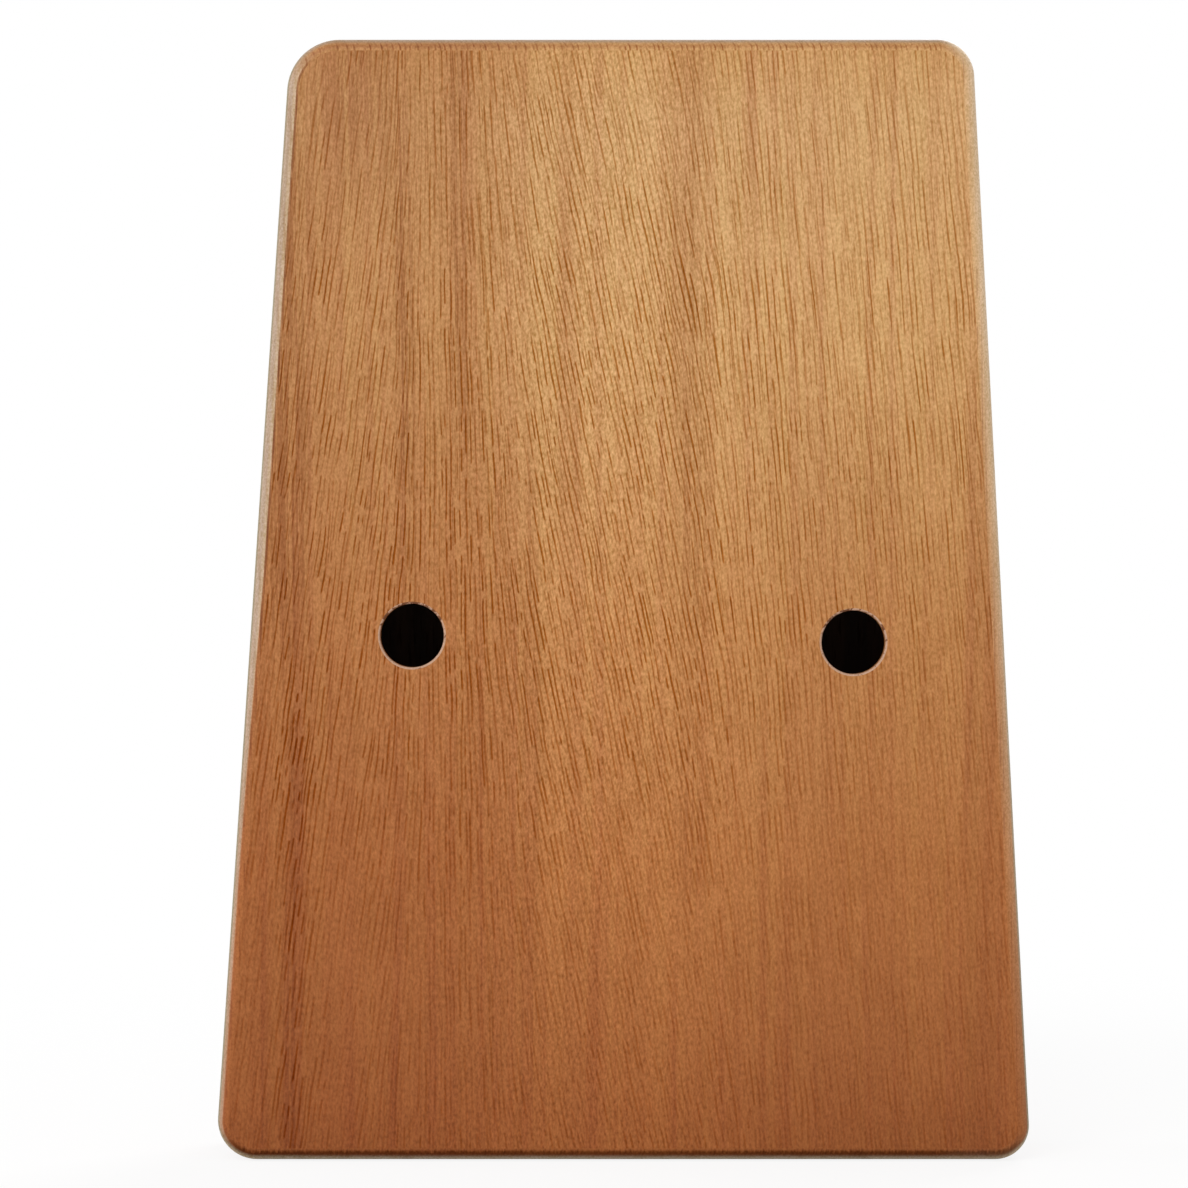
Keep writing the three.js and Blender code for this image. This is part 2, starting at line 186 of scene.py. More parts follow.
class Solid:
    """A closed mesh, built ring by ring in millimetres."""

    def __init__(self, name):
        self.name = name
        self.bm = bmesh.new()

    def ring(self, points):
        return [self.bm.verts.new(Vector(p) * MM) for p in points]

    def skin(self, a, b, material=0, closed=True):
        """Faces between two rings of the same count."""
        count = len(a) if closed else len(a) - 1
        for i in range(count):
            j = (i + 1) % len(a)
            face = self.bm.faces.new((a[i], a[j], b[j], b[i]))
            face.material_index = material

    def loft(self, rings, material=0):
        for a, b in zip(rings, rings[1:]):
            self.skin(a, b, material)

    def cap(self, rings, material=0):
        """A flat face inside a ring, less the rings inside that one."""
        edges = []
        for ring in rings:
            for i, vert in enumerate(ring):
                pair = (vert, ring[(i + 1) % len(ring)])
                edges.append(self.bm.edges.get(pair) or self.bm.edges.new(pair))
        made = bmesh.ops.triangle_fill(self.bm, use_beauty=True, use_dissolve=False, edges=edges)
        for part in made["geom"]:
            if isinstance(part, bmesh.types.BMFace):
                part.material_index = material

    def close(self, rings):
        """Faces between all the rings, and a cap on the first and on the last."""
        self.loft(rings)
        self.cap([rings[0]])
        self.cap([rings[-1]])

    def piece(self, materials, sharp=32):
        """The finished object, with edges sharper than that many degrees left sharp."""
        bmesh.ops.remove_doubles(self.bm, verts=self.bm.verts, dist=1e-7)
        bmesh.ops.dissolve_degenerate(self.bm, edges=self.bm.edges, dist=1e-8)
        bmesh.ops.recalc_face_normals(self.bm, faces=self.bm.faces)
        mesh = bpy.data.meshes.new(self.name)
        self.bm.to_mesh(mesh)
        self.bm.free()
        for material in materials:
            mesh.materials.append(material)
        mesh.shade_smooth()
        mesh.set_sharp_from_angle(angle=math.radians(sharp))
        made = bpy.data.objects.new(self.name, mesh)
        bpy.context.scene.collection.objects.link(made)
        return made


def circle(steps):
    """Angles once around."""
    return [math.tau * i / steps for i in range(steps)]


def round_steps(steps):
    """Sine and cosine along a quarter turn."""
    turns = [math.pi / 2 * i / steps for i in range(steps + 1)]
    return [(math.sin(t), math.cos(t)) for t in turns]


def cut(piece, cutters, sharp=32):
    """Takes the cutters out of a piece, and deletes them."""
    for cutter in cutters:
        modifier = piece.modifiers.new("cut", "BOOLEAN")
        modifier.operation = "DIFFERENCE"
        modifier.solver = "EXACT"
        modifier.object = cutter
    bpy.context.view_layer.update()
    shown = piece.evaluated_get(bpy.context.evaluated_depsgraph_get())
    mesh = bpy.data.meshes.new_from_object(shown)
    piece.modifiers.clear()
    piece.data = mesh
    mesh.shade_smooth()
    mesh.set_sharp_from_angle(angle=math.radians(sharp))
    for cutter in cutters:
        bpy.data.objects.remove(cutter)


def lathe(name, profile, place, steps=48):
    """A solid turned about an axis. The profile is [radius, distance along], and place(along, a, b)
    gives a point from the distance along the axis and the two square to it."""
    solid = Solid(name)
    rings = []
    for radius, along in profile:
        points = [place(along, radius * math.cos(t), radius * math.sin(t)) for t in circle(steps)]
        rings.append(solid.ring(points))
    solid.close(rings)
    return solid


def on_bridge(x, height, z):
    """A point in the bridge's own frame, as one in the box's."""
    return (BRIDGE_X + x, FRONT_FACE + height, BRIDGE_Z + z)


def finish_piece(piece, slot, *nodes):
    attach(piece, "root")
    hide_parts(*nodes)


# Materials


def colour(red, green, blue):
    """A colour written as a screen shows it, 0 to 255, as Blender's linear one."""

    def linear(value):
        value /= 255
        return value / 12.92 if value <= 0.04045 else ((value + 0.055) / 1.055) ** 2.4

    return (linear(red), linear(green), linear(blue), 1)


def turned(axes, turn):
    """The axes that take the place of X, Y and Z, such as "YZX"."""
    return [axes["XYZ".index(axis)] for axis in turn]


class Graph:
    """A tree of nodes. A method that adds nodes returns the socket that holds what they give."""

    def __init__(self, tree):
        self.tree = tree
        tree.nodes.clear()

    def node(self, kind, **settings):
        node = self.tree.nodes.new("ShaderNode" + kind)
        for name, value in settings.items():
            setattr(node, name, value)
        return node

    def put(self, socket, value):
        """Links a socket to an input, or sets the input to a plain value."""
        if isinstance(value, bpy.types.NodeSocket):
            self.tree.links.new(value, socket)
        else:
            socket.default_value = value

    def fill(self, node, *values):
        """Puts values into a node's inputs in their order."""
        for i, value in enumerate(values):
            self.put(node.inputs[i], value)
        return node

    def math(self, operation, a, b=0.0):
        return self.fill(self.node("Math", operation=operation), a, b).outputs[0]

    def add(self, a, b):
        return self.math("ADD", a, b)

    def times(self, a, b):
        return self.math("MULTIPLY", a, b)

    def total(self, *values):
        result = values[0]
        for value in values[1:]:
            result = self.add(result, value)
        return result

    def place(self):
        """Where the point is on the piece, in millimetres."""
        return self.scaled(self.node("TexCoord").outputs["Object"], (1 / MM,) * 3)

    def scaled(self, vector, factors, shift=(0, 0, 0)):
        node = self.node("VectorMath", operation="MULTIPLY_ADD")
        return self.fill(node, vector, factors, shift).outputs[0]

    def parts(self, vector):
        return list(self.fill(self.node("SeparateXYZ"), vector).outputs)

    def vector(self, x, y, z):
        return self.fill(self.node("CombineXYZ"), x, y, z).outputs[0]

    def white(self, value, seed):
        """A fixed random number from 0 to 1 for each whole value."""
        node = self.node("TexWhiteNoise", noise_dimensions="1D")
        self.put(node.inputs["W"], self.add(value, seed))
        return node.outputs["Value"]

    def noise(self, at, sizes, detail=1.0, roughness=0.5, seed=0.0):
        """Smooth noise about 0.5, whose features have those sizes along the three axes."""
        node = self.node("TexNoise")
        factors = [1 / size for size in sizes]
        self.put(node.inputs["Vector"], self.scaled(at, factors, (0, seed, 0)))
        node.inputs["Scale"].default_value = 1
        node.inputs["Detail"].default_value = detail
        node.inputs["Roughness"].default_value = roughness
        return node.outputs[0]

    def about_zero(self, noise, weight):
        return self.times(self.add(noise, -0.5), weight)

    def swing(self, at, sizes, reach, detail=1.0, seed=0.0):
        """Smooth noise about 0, up to about that far either way."""
        return self.about_zero(self.noise(at, sizes, detail, seed=seed), 2 * reach)

    def span(self, value, low, high, to_low=0.0, to_high=1.0):
        """Maps a range smoothly onto another, and holds it past both ends."""
        node = self.node("MapRange", interpolation_type="SMOOTHSTEP")
        return self.fill(node, value, low, high, to_low, to_high).outputs[0]

    def hump(self, value, centre, width):
        """1 at the centre, and 0 from that width on either side of it."""
        away = self.math("ABSOLUTE", self.add(value, -centre))
        return self.span(away, 0, width, 1, 0)

    def ramp(self, value, stops):
        """A colour from a list of [position, colour]."""
        node = self.node("ValToRGB")
        elements = node.color_ramp.elements
        while len(elements) < len(stops):
            elements.new(0.5)
        for element, (position, shade) in zip(elements, stops):
            element.position = position
            element.color = shade
        return self.fill(node, value).outputs[0]

    def mix(self, share, a, b, blend="MIX"):
        node = self.node("Mix", data_type="RGBA", blend_type=blend)
        factor, first, second = 0, 6, 7
        self.put(node.inputs[factor], share)
        self.put(node.inputs[first], a)
        self.put(node.inputs[second], b)
        return node.outputs[2]

    def tint(self, tone, by, share=1.0):
        """A colour times another, as far as the share goes."""
        return self.mix(share, tone, by, "MULTIPLY")


class Finish(Graph):
    """A material's nodes, with its shader."""

    def __init__(self, name, **shader):
        self.material = bpy.data.materials.new(name)
        self.material.use_nodes = True
        super().__init__(self.material.node_tree)
        self.shader = self.node("BsdfPrincipled")
        self.put(self.node("OutputMaterial").inputs["Surface"], self.shader.outputs[0])
        self.set(**shader)

    def set(self, **inputs):
        """Sets the shader's inputs. Their names are written with underscores."""
        for name, value in inputs.items():
            self.put(self.shader.inputs[name.replace("_", " ")], value)

    def bump(self, height, distance):
        """Gives the shader a bump from a height of 0 to 1 that stands for that many millimetres."""
        node = self.node("Bump")
        node.inputs["Strength"].default_value = 1.0
        node.inputs["Distance"].default_value = distance * MM
        self.put(node.inputs["Height"], height)
        self.set(Normal=node.outputs[0])


# The box's wood from its foot, at 0, to its head, at 1. Its darkening towards the foot is partly
# the wood's own hue and partly painted shade, of light that falls off from the head to the foot
WOOD_TONES_AND_SHADE = [
    (0.04, colour(163, 95, 45)),
    (0.27, colour(184, 118, 63)),
    (0.47, colour(197, 138, 82)),
    (0.72, colour(208, 160, 104)),
    (0.93, colour(206, 160, 107)),
    (1, colour(200, 151, 95)),
]

# What its red right, its low left, dark streaks and pores multiply that colour by
RED_SHADE = (0.79, 0.67, 0.60, 1)
LEFT_SHADE = (0.87, 0.83, 0.78, 1)
STREAK_SHADE = (0.66, 0.49, 0.38, 1)
PORE_SHADE = (0.58, 0.37, 0.15, 1)

# What the grain's fine light and dark multiplies it by at its two ends
DULL = (0.6, 0.5, 0.2, 1)
BRIGHT = (1.4, 1.5, 1.8, 1)

# The two hues between which the stripes along the grain change
GOLD_HUE = (0.97, 1.07, 0.96, 1)
PINK_HUE = (1.03, 0.93, 1.04, 1)

# The X up to which the wood is red, and the one where that ends
RED_EDGE = (-27, -8)

# Leaning grain: how far the pores lean, as X over Z, and how that changes from one X to another on
# the boards. The frame's pores all lean by the same.
LEAN_AT_RIGHT = -0.14
LEAN_CHANGES = [(-43, -30, 0.16), (-27, -9, 0.19), (6, 24, -0.11)]
FRAME_LEAN = 0.02

# The pores lean only over a block of this height at a time, so that their rows stay upright.
LEAN_BLOCK = 26

# Rows of long and of short pores: how far apart, half of a pore's width, its length, and how strong
# they are below and above the heights at which the long ones give way to the short ones
PORE_ROWS = [
    (1.07, 0.125, 13, (0.4, 1)),
    (0.87, 0.12, 3.8, (1, 0.65)),
]
PORE_CHANGE = (125, 155)

# The rows of pores run slantwise into the wood, by this much across for each millimetre of depth.
ROW_SLANT = 0.8

# Below this value of the noise along a row, the row has no pore. That noise is so small across the
# rows that each has a place of its own in it.
PORE_GAPS = 0.38
ROW_NOISE = 0.103

# Dark streaks along the grain of the back: X, half width, the heights that it spans, how dark it is
BACK_STREAKS = [
    (-55.5, 7, 70, 180, 0.85),
    (-55.2, 3, -20, 85, 0.6),
    (-44, 15, 150, 250, 0.6),
    (-36, 2.4, 84, 190, 0.8),
    (-27.3, 2.2, 104, 215, 0.55),
    (-15.5, 2.5, -10, 135, 0.4),
    (11.5, 5, 30, 215, 0.4),
]
STREAK_FADE = 25


def pore_rows(g, line, deep, z, pitch, half, run, wide, seed):
    """Thin lines along the grain, a pitch apart, each broken into pores about that run long."""
    at = g.times(line, 1 / pitch)
    row = g.math("FLOOR", at)
    shift = g.times(g.white(row, seed), 0.5)
    away = g.math("ABSOLUTE", g.total(g.math("FRACT", at), -0.75, shift))
    half = g.times(wide, half / pitch)
    thin = g.span(away, g.times(half, 0.4), g.times(half, 1.6), 1, 0)
    broken = g.noise(g.vector(row, deep, z), (ROW_NOISE, 0.9, run), 1, 0.5, seed)
    strength = g.add(g.times(g.white(row, seed + 0.5), 0.5), 0.5)
    return g.times(g.times(thin, strength), g.span(broken, PORE_GAPS, PORE_GAPS + 0.1))


def grain_sway(g, here, x, seed):
    """How far across the grain the point lies, with the grain's slow sway."""
    return g.add(x, g.swing(here, (45, 45, 160), 3.5, 2, seed))


def broad_bands(g, banded, seed):
    return g.noise(banded, (9, 9, 330), 2, 0.55, seed + 50)


def wood_tone_and_shade(g, height, across, broad):
    """The box's colour without its pores: paler towards the head, partly as its own tone and partly
    as painted shade darkening the foot, and redder on the right.
    """
    climb = g.total(g.times(height, 1 / BOX_HEIGHT), g.about_zero(broad, 0.12))
    tone = g.ramp(climb, WOOD_TONES_AND_SHADE)
    side = g.times(g.span(across, *RED_EDGE, 1, 0), g.span(height, 0, 60, 0.6, 1))
    red = g.math("MAXIMUM", side, g.span(broad, 0.5, 0.66, 0, 0.5))
    tone = g.tint(tone, RED_SHADE, red)
    low_left = g.times(g.span(across, 5, 40), g.span(height, 90, 150, 1, 0))
    return g.tint(tone, LEFT_SHADE, low_left)


def dimming(g, x, z):
    """What the grain's light loses along the right edge and at the foot."""
    return g.times(g.span(x, -40, -55), -0.04), g.times(g.span(z, 9, 2.5), -0.05)


def box_wood(name, seed, turn=None, streaks=()):
    """Open-pored reddish wood that pales towards the head. A piece of the frame has a turn, which
    puts other axes in place of X, Y and Z, to be across the grain, into the wood and along it."""
    g = Finish(name)
    here = g.place()
    x, y, z = g.parts(here)
    height = z
    board = not turn
    if turn:
        x, y, z = turned((x, y, z), turn)
        here = g.vector(x, y, z)

    across = grain_sway(g, here, x, seed)
    flutter = g.swing(here, (5, 5, 18), 0.55, 2, seed + 3)
    banded = g.vector(across, y, z)
    lean = FRAME_LEAN
    if board:
        lean = LEAN_AT_RIGHT
        bent = g.add(x, g.swing(here, (9, 9, 16), 5, 1, seed + 6))
        for low, high, change in LEAN_CHANGES:
            lean = g.add(lean, g.span(bent, low, high, 0, change))

    middle = g.hump(bent, -8, 40) if board else 0.5
    toward_head = g.add(height, g.times(x, 0.5)) if board else 140
    shares = [g.span(toward_head, *PORE_CHANGE, *ends) for *_, ends in PORE_ROWS]
    wide = g.span(height, 40, 110, 1.4, 1)
    slanted = g.add(x, g.times(y, ROW_SLANT))
    pores = 0.0
    for phase in (0, 0.5):
        block = g.add(g.math("FRACT", g.add(g.times(z, 1 / LEAN_BLOCK), phase)), -0.5)
        share = g.span(g.math("ABSOLUTE", block), 0.16, 0.34, 1, 0)
        line = g.total(slanted, flutter, g.times(g.times(block, LEAN_BLOCK), lean))
        for i, (pitch, half, run, _) in enumerate(PORE_ROWS):
            row_seed = seed + 11 * i + 5 * phase
            rows = pore_rows(g, line, y, z, pitch, half, run, wide, row_seed)
            pores = g.add(pores, g.times(rows, g.times(share, shares[i])))
    pores = g.math("MINIMUM", pores, 1)

    broad = broad_bands(g, banded, seed)
    stripe = g.noise(banded, (1.7, 1.7, 130), 2, 0.6, seed + 60)
    thread = g.noise(banded, (0.5, 0.5, 45), 2, 0.6, seed + 65)
    cluster = g.noise(banded, (5, 5, 12), 2, 0.5, seed + 70)
    figure = g.noise(here, (8, 8, 9), 2, 0.5, seed + 80)
    speckle = g.noise(here, (0.38, 0.38, 0.7), 1, 0.6, seed + 90)

    tone = wood_tone_and_shade(g, height, across, broad)
    dark = g.span(stripe, 0.5, 0.72, 0, 0.3)
    for centre, half, low, high, strength in streaks:
        begun = g.span(z, low, low + STREAK_FADE, 0, strength)
        held = g.times(begun, g.span(z, high - STREAK_FADE, high, 1, 0))
        dark = g.math("MAXIMUM", dark, g.times(g.hump(across, centre, half), held))
    dark = g.math("MINIMUM", g.times(dark, g.span(thread, 0.42, 0.57, 0.25, 1)), 1)
    tone = g.tint(tone, STREAK_SHADE, dark)
    light = g.total(
        0.5,
        g.about_zero(stripe, -0.25),
        g.about_zero(thread, -0.25),
        g.about_zero(figure, 0.2),
        g.times(g.add(speckle, -0.5), g.add(g.times(middle, 0.4), 1.0)),
        *dimming(g, x, z),
    )
    tone = g.tint(tone, g.mix(light, DULL, BRIGHT))
    tone = g.tint(tone, g.mix(stripe, GOLD_HUE, PINK_HUE))

    above = g.add(height, g.span(x, 0, 60, 0, -20)) if board else height
    depth = g.times(g.span(cluster, 0.36, 0.56, 0.66, 1), g.span(above, 28, 100, 0.48, 1.15))
    if board:
        spread = g.times(g.span(x, 15, 60, 1, 0.9), g.span(height, 130, 172, 1, 0.7))
        dense = g.times(g.hump(across, -55, 4.5), g.span(z, 90, 70))
        depth = g.times(g.times(depth, spread), g.total(g.times(middle, 0.15), dense, 1.0))
    pore = g.times(pores, depth)
    tone = g.tint(tone, PORE_SHADE, g.times(pore, 0.95))

    roughness = g.span(pore, 0, 1, 0.44, 0.62)
    g.set(Base_Color=tone, Roughness=roughness, Specular_IOR_Level=g.span(pore, 0, 1, 0.25, 0))
    g.bump(g.total(g.times(pore, -1), g.times(speckle, 0.3)), 0.045)
    return g.material


# The rounded edge of a board: its painted highlight on the right and on the left, its painted
# reflection where it turns away, and that at the foot and at the head. Then what multiplies its
# colour along the face's edge, and the painted shade where it turns away on the right and below
# the foot
EDGE_RIGHT_HIGHLIGHT = colour(188, 160, 130)
EDGE_LEFT_HIGHLIGHT = colour(228, 198, 160)
EDGE_RIM_REFLECTION = colour(140, 126, 100)
EDGE_FOOT_REFLECTION = colour(173, 155, 132)
EDGE_HEAD_REFLECTION = colour(162, 135, 109)
EDGE_LINE = (0.50, 0.34, 0.24, 1)
EDGE_TURN_SHADE = (0.76, 0.76, 0.84, 1)
EDGE_FOOT_SHADE = (0.36, 0.31, 0.27, 1)


def edge_wood(name, face, painted_light_share, seed):
    """The box's wood on the rounded edge of the board whose face lies at that Y. As the photograph
    shows, its right side is pale, a painted highlight, with a dark line beside the face, its left
    side pales towards the head, also a painted highlight, its foot is dark with painted shade, its
    head has a reddish band and its outer rim is greyish, a painted reflection. The painted light
    share sets how much of the pale sides, the dark line and the greyish rim shows."""
    g = Finish(name, Roughness=0.55)
    here = g.place()
    x, y, z = g.parts(here)
    across = grain_sway(g, here, x, seed)
    banded = g.vector(across, y, z)
    broad = broad_bands(g, banded, seed)
    thread = g.noise(banded, (0.5, 0.5, 30), 2, 0.6, seed + 65)
    figure = g.noise(here, (3, 3, 14), 2, 0.5, seed + 80)
    speckle = g.noise(here, (0.32, 0.32, 0.4), 1, 0.6, seed + 90)
    down = g.math("ABSOLUTE", g.add(y, -face))
    turn = g.math("SQRT", down)
    ragged = g.times(turn, g.times(thread, 2))

    tone = wood_tone_and_shade(g, z, across, broad)
    foot = g.span(z, 5, 1.2)
    head = g.span(z, BOX_HEIGHT - 6, BOX_HEIGHT - 1.5)
    # The right side's pale band is a painted highlight, as far as the painted light share goes
    outside = g.times(g.span(x, -50, -54), painted_light_share)
    past_line = g.add(down, g.span(z, 40, 100, -0.24, 0))
    pale = g.span(past_line, 0, g.span(z, 40, 100, 0.25, 0.06))
    right = g.times(g.times(outside, pale), g.span(z, 6, 110, 0.6, 1))
    right = g.times(right, g.span(z, 184, 176, 0.45, 1))
    # The left side pales towards the head as a painted highlight
    left = g.times(g.span(x, 52, 56), g.span(turn, -0.3, 1.2))
    left = g.times(left, g.span(z, 0, 150, 0.08, 1))
    tone = g.mix(right, tone, EDGE_RIGHT_HIGHLIGHT)
    # Painted shade where the right band turns away from the light
    tone = g.tint(tone, EDGE_TURN_SHADE, g.times(right, g.span(turn, 0.28, 0.6)))
    band = g.times(head, g.hump(ragged, 0.4, 0.34))
    tone = g.tint(tone, STREAK_SHADE, g.times(band, 0.62))

    slanted = g.add(x, g.times(y, ROW_SLANT))
    rows = pore_rows(g, slanted, y, z, 0.95, 0.13, 5, 1, seed + 11)
    rows = g.times(rows, g.times(g.span(z, 10, 180, 0.5, 1), g.span(right, 0, 1, 1, 0.4)))
    rows = g.times(rows, g.span(down, 0.1, 0.4, 1, 0.6))
    tone = g.tint(tone, PORE_SHADE, rows)
    # Painted shade on the foot's edge, which faces down, away from the light
    under = g.times(foot, g.span(ragged, 0, 0.36))
    tone = g.tint(tone, EDGE_FOOT_SHADE, under)

    # The greyish outer rim is a painted reflection of the white surroundings, in its own tones at
    # the foot and at the head
    start = g.span(g.math("MAXIMUM", foot, head), 0, 1, 0.75, 0.2)
    rim = g.times(g.span(down, start, 0.95), g.span(figure, 0.3, 0.5, 0.8 * painted_light_share, painted_light_share))
    grey = g.mix(foot, g.mix(head, EDGE_RIM_REFLECTION, EDGE_HEAD_REFLECTION), EDGE_FOOT_REFLECTION)
    outer = g.span(down, 1.4, 2, 1, 0.15)
    tone = g.mix(g.times(rim, outer), tone, grey)
    tone = g.mix(g.times(g.times(left, outer), painted_light_share), tone, EDGE_LEFT_HIGHLIGHT)
    line = g.times(g.span(past_line, -0.2, 0.01), g.span(past_line, 0.02, 0.05, 1, 0))
    line = g.times(line, outside)
    broken = g.times(g.span(z, 40, 110, 0.35, 1), g.span(thread, 0.35, 0.55, 0.4, 0.9))
    tone = g.tint(tone, EDGE_LINE, g.times(line, broken))
    light = g.total(
        0.5,
        g.about_zero(thread, -0.35),
        g.about_zero(figure, 0.25),
        g.about_zero(speckle, 0.9),
        *dimming(g, x, z),
    )
    tone = g.tint(tone, g.mix(light, DULL, BRIGHT))
    g.set(Base_Color=tone, Specular_IOR_Level=g.span(under, 0, 1, 0.25, 0.05))
    g.bump(speckle, 0.02)
    return g.material


RIM_PALE = colour(190, 152, 126)
RIM_DARK = colour(112, 66, 36)


def rim_wood(name, dark_z, seed):
    """The broken edge of a hole: pale, cut grain, with more dark gaps above that height."""
    g = Finish(name, Roughness=0.6, Specular_IOR_Level=0.3)
    here = g.place()
    z = g.parts(here)[2]
    chips = g.noise(here, (0.8, 0.8, 0.8), 2, 0.6, seed)
    speckle = g.noise(here, (0.25, 0.25, 0.35), 1, 0.6, seed + 1)
    low = g.span(g.add(z, -dark_z), -2, 5, 0.12, -0.06)
    pale = g.span(g.add(chips, low), 0.40, 0.52)
    tone = g.mix(pale, RIM_DARK, RIM_PALE)
    tone = g.tint(tone, g.add(g.times(speckle, 0.7), 0.65))
    g.set(Base_Color=tone)
    g.bump(chips, 0.05)
    return g.material


def plain_wood(name, light, dark, rough, seed, turn=None):
    """Straight-grained wood of two tones, with fine pores. It is turned as the box's wood is."""
    light, dark = colour(*light), colour(*dark)
    g = Finish(name, Specular_IOR_Level=0.35)
    here = g.place()
    if turn:
        here = g.vector(*turned(g.parts(here), turn))
    x, y, z = g.parts(here)
    sway = g.swing(here, (12, 12, 60), 1.5, 2, seed)
    banded = g.vector(g.add(x, sway), g.add(y, sway), z)
    band = g.noise(banded, (2.4, 2.4, 90), 3, 0.6, seed + 1)
    pores = g.noise(banded, (0.45, 0.45, 6), 1.3, 0.5, seed + 2)
    speckle = g.noise(here, (0.22, 0.22, 0.5), 1, 0.5, seed + 3)
    pore = g.span(pores, 0.55, 0.7)
    tone = g.mix(g.span(band, 0.35, 0.65), light, dark)
    tone = g.tint(tone, PORE_SHADE, g.times(pore, 0.75))
    tone = g.tint(tone, g.add(g.times(speckle, 0.4), 0.8))
    g.set(Base_Color=tone, Roughness=g.span(pore, 0, 1, rough, rough + 0.15))
    g.bump(g.total(g.times(pore, -0.8), g.times(speckle, 0.2)), 0.03)
    return g.material


def metal(name, bright, dull, rough, sizes, seed, scratch):
    """Metal with fine drawn or polished lines, whose sizes along the axes are given."""
    bright, dull = colour(*bright), colour(*dull)
    g = Finish(name, Metallic=1.0)
    here = g.place()
    lines = g.noise(here, sizes, 2, 0.6, seed)
    cloud = g.noise(here, (4, 4, 7), 3, 0.55, seed + 1)
    wear = g.noise(here, (0.7, 0.7, 0.9), 2, 0.6, seed + 2)
    tone = g.mix(g.span(lines, 0.3, 0.7), bright, dull)
    tone = g.mix(g.span(cloud, 0.5, 0.75, 0, 0.3), tone, dull)
    tone = g.tint(tone, dull, g.span(wear, 0.66, 0.78, 0, 0.25))
    drawn = g.span(lines, 0.3, 0.7, rough * 0.8, rough * 1.25)
    g.set(Base_Color=tone, Roughness=g.total(drawn, g.span(cloud, 0.4, 0.7, 0, 0.08)))
    g.bump(lines, scratch)
    return g.material


WOOD_BACK = box_wood("box_wood_back", 0, streaks=BACK_STREAKS)
WOOD_FRONT = box_wood("box_wood_front", 130)
WOOD_LEFT = box_wood("box_wood_left", 260, turn="YXZ")
WOOD_RIGHT = box_wood("box_wood_right", 390, turn="YXZ")
WOOD_END = box_wood("box_wood_end", 520, turn="YZX")
# The inside is dark brown as painted shade, so that the closed box shows black through its holes
INSIDE = plain_wood("box_inside", (70, 45, 30), (48, 30, 20), rough=0.8, seed=7)
BACK_EDGE = edge_wood("back_edge_wood", BACK_FACE, painted_light_share=1, seed=0)
FRONT_EDGE = edge_wood("front_edge_wood", FRONT_FACE, painted_light_share=0.35, seed=130)
BACK_RIM = rim_wood("back_rim_wood", FINGER_HOLES[0][1], seed=91)
FRONT_RIM = rim_wood("front_rim_wood", SOUND_HOLE[1] + SOUND_HOLE_RADIUS, seed=93)
BLOCK_WOOD = plain_wood(
    "block_wood", (205, 168, 122), (176, 134, 90), rough=0.75, seed=21, turn="YZX"
)
BRIDGE_WOOD = plain_wood(
    "bridge_wood", (92, 52, 34), (52, 27, 18), rough=0.42, seed=33, turn="YZX"
)
SADDLE_STEEL = metal(
    "saddle_steel", (172, 170, 166), (132, 128, 122), 0.26, (9, 0.3, 0.3), seed=41, scratch=0.004
)
BAR_PLATING = metal(
    "bar_plating", (198, 193, 184), (168, 160, 149), 0.2, (7, 0.35, 0.35), seed=52, scratch=0.002
)
SCREW_STEEL = metal(
    "screw_steel", (186, 180, 170), (128, 121, 112), 0.24, (0.4, 0.4, 0.4), seed=63, scratch=0.002
)
SPRING_STEEL = metal(
    "spring_steel", (172, 173, 174), (136, 137, 139), 0.24, (0.2, 0.3, 16), seed=74, scratch=0.004
)

# The box

# The places of a wooden piece's further materials
INSIDE_SLOT, EDGE_SLOT, RIM_SLOT = 1, 2, 3


def board(name, face, inside, holes, wood, edge, rim_material):
    """A board with its outer edge rounded over. Holes are [x, z, radius, rim]."""
    outward = 1 if face > inside else -1
    solid = Solid(name)
    rows = [(SEAM, inside), (0, inside + outward * SEAM)]
    for sin, cos in round_steps(ROUND_STEPS):
        rows.append((ROUNDOVER * (1 - cos), face - outward * ROUNDOVER * (1 - sin)))
    rows.append((ROUNDOVER + SUPPORT, face))
    rings = []
    for inset, y in rows:
        outline = [p for arc in box_arcs(inset) for p in arc]
        rings.append(solid.ring((p.x, y, p.y) for p in outline))
    solid.loft(rings[:3])
    solid.loft(rings[2:-1], EDGE_SLOT)
    solid.loft(rings[-2:])

    outer, inner = [rings[-1]], [rings[0]]
    for x, z, radius, rim in holes:
        path = [(radius + rim + SUPPORT, face)]
        for sin, cos in round_steps(RIM_STEPS):
            path.append((radius + rim * (1 - sin), face - outward * rim * (1 - cos)))
        path += [(radius, inside + outward * SEAM), (radius + SEAM, inside)]
        around = circle(HOLE_STEPS)
        walls = [
            solid.ring((x + reach * math.cos(t), y, z + reach * math.sin(t)) for t in around)
            for reach, y in path
        ]
        solid.skin(walls[0], walls[1])
        solid.loft(walls[1 : RIM_STEPS + 2], RIM_SLOT)
        solid.loft(walls[RIM_STEPS + 1 :])
        outer.append(walls[0])
        inner.append(walls[-1])
    solid.cap(outer)
    solid.cap(inner, INSIDE_SLOT)
    piece = solid.piece([wood, INSIDE, edge, rim_material])
    finish_piece(piece, "box_wood", name)


holes = [(x, z, FINGER_HOLE_RADIUS, HOLE_RIM) for x, z in FINGER_HOLES]
board("back_board", BACK_FACE, BACK_INSIDE, holes, WOOD_BACK, BACK_EDGE, BACK_RIM)
holes = [(*SOUND_HOLE, SOUND_HOLE_RADIUS, HOLE_RIM)]
for x in SCREW_XS:
    holes.append((BRIDGE_X + x, BRIDGE_Z + BAR_SETBACK, SCREW_HOLE_RADIUS, SEAM))
board("front_board", FRONT_FACE, FRONT_INSIDE, holes, WOOD_FRONT, FRONT_EDGE, FRONT_RIM)

